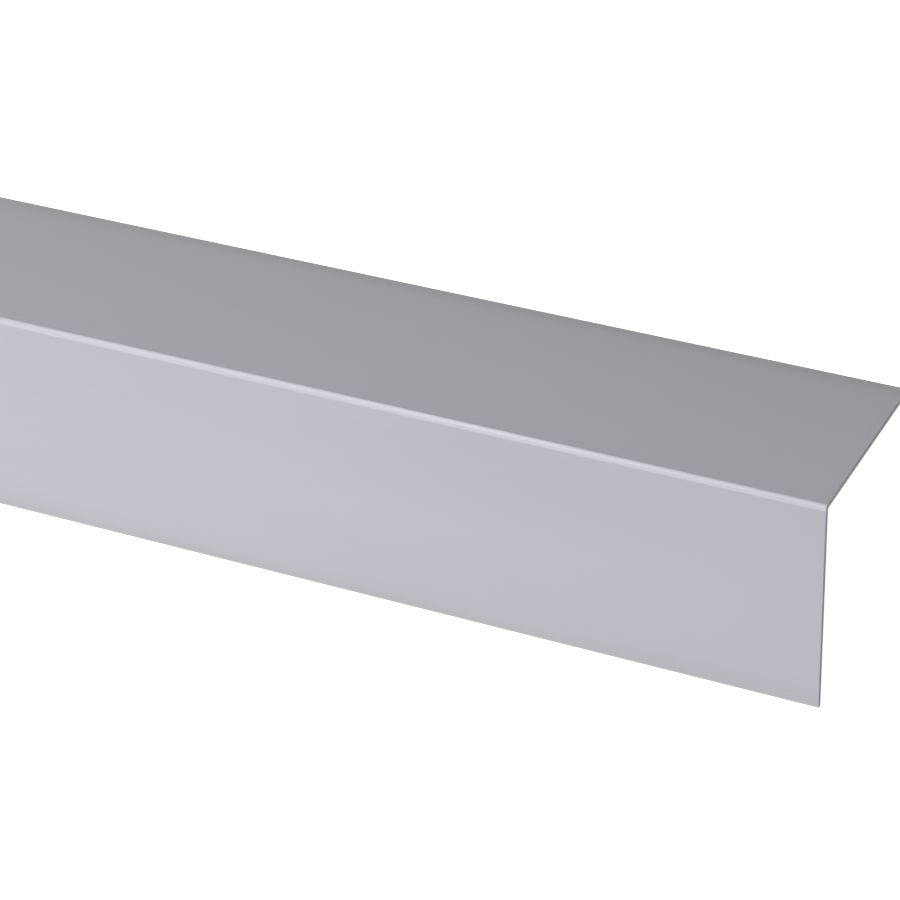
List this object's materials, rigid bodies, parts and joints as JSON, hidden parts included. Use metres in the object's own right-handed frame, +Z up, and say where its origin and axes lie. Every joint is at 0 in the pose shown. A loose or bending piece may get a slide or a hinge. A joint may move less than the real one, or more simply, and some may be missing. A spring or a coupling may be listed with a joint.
{
  "type": "plastic corner profile",
  "caption": "Length of thin silver-grey plastic angle with two equal legs and a rounded outer corner, used to cover and protect the edge of a wall or panel.",
  "frame": {"origin": "on the floor, halfway along the length and halfway between the tips of the two legs, straight under the outer corner", "axes": "+X along the length; +Z up, out through the outer corner; the front leg slopes down towards -Y and the rear leg towards +Y, each at 45 degrees"},
  "size_m": [1, 0.0702, 0.0355],
  "materials": {
    "silver_grey_pvc": "satin"
  },
  "bodies": {
    "root": {"corner_profile": "silver_grey_pvc"}
  },
  "joints": []
}
